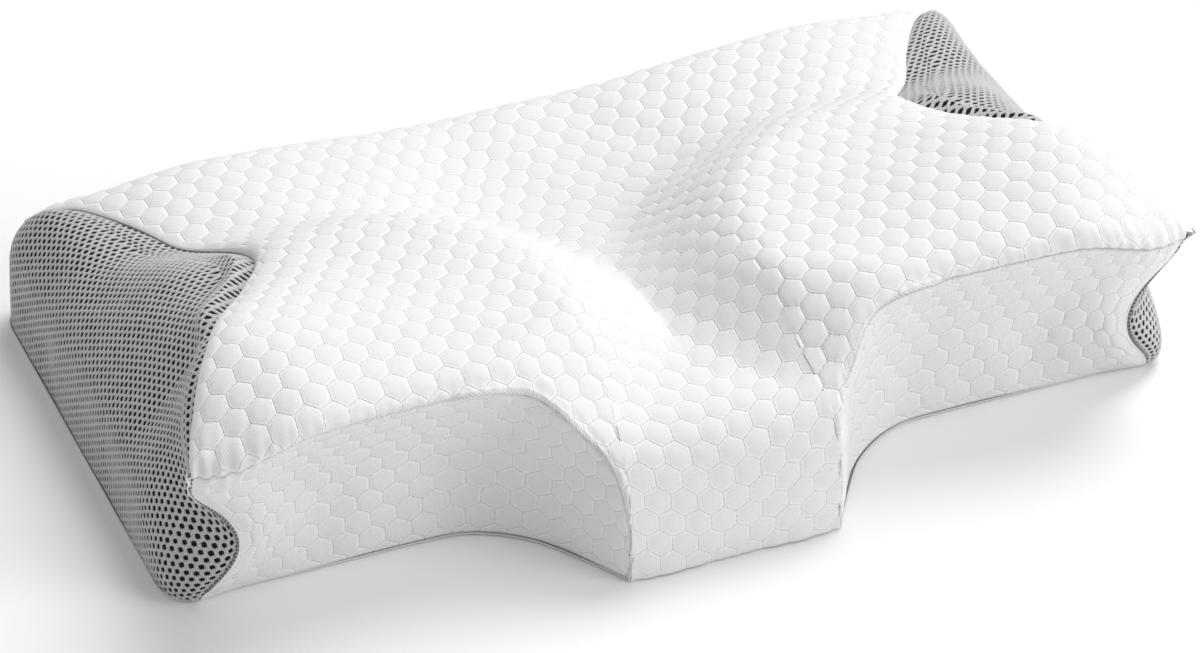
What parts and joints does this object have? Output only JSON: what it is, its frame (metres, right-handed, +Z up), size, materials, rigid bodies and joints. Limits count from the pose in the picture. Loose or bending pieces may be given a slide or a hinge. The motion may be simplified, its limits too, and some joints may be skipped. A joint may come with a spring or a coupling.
{
  "type": "contour neck pillow",
  "caption": "Butterfly shaped contour foam neck pillow with a head hollow, raised side wings, a neck tongue and shoulder scoops, in a zipped quilted cover with mesh ends.",
  "frame": {"origin": "centre of the footprint, on the surface the pillow rests on", "axes": "+X along the length, -Y towards the tongue that carries the neck, +Z up"},
  "size_m": [0.621, 0.3903, 0.149],
  "materials": {
    "foam": "fine open-cell moulded foam, matt",
    "liner": "thin plain jersey, matt",
    "quilted_knit": "white quilted knit with puffed six-sided cells, matt with a soft sheen",
    "plain_knit": "flat white knit with a fine rib, matt",
    "spacer_mesh": "grey open spacer mesh with staggered oval holes, matt",
    "seam_welt": "rolled knit seam with a stitched edge, matt",
    "zip_tape": "woven tape, matt",
    "zip_teeth": "nylon coil, satin",
    "zip_metal": "die-cast, satin",
    "label_tape": "woven satin tape, blank"
  },
  "bodies": {
    "pillow": {"foam_core": "foam", "liner_body": "liner", "liner_base": "liner", "cover_top_panel": "quilted_knit", "cover_bottom_panel": "plain_knit", "cover_front_panel_left": "quilted_knit", "cover_front_panel_right": "quilted_knit", "cover_mesh_end_left": "spacer_mesh", "cover_mesh_end_right": "spacer_mesh", "cover_rear_panel_upper": "quilted_knit", "cover_rear_panel_lower": "plain_knit", "front_seam_welt_left": "seam_welt", "front_seam_welt_right": "seam_welt", "end_seam_welt_left": "seam_welt", "end_seam_welt_right": "seam_welt", "rear_seam_welt": "seam_welt", "zip_tape_upper": "zip_tape", "zip_tape_lower": "zip_tape", "zip_teeth_upper": "zip_teeth", "zip_teeth_lower": "zip_teeth", "zip_stop_left": "zip_metal", "zip_stop_right": "zip_metal", "care_label": "label_tape"},
    "slider": {"zip_slider": "zip_metal"},
    "pull_tab": {"zip_pull_tab": "zip_metal"}
  },
  "joints": [
    {"name": "zip_slide", "type": "slide", "parent": "pillow", "child": "slider", "axis": [-1, 0, 0], "range_m": [0, 0.537]},
    {"name": "pull_tab_hinge", "type": "hinge", "parent": "slider", "child": "pull_tab", "pos_m": [0.2685, 0.1942, 0.027], "axis": [0, 0, 1], "range_deg": [-170, 0]}
  ]
}
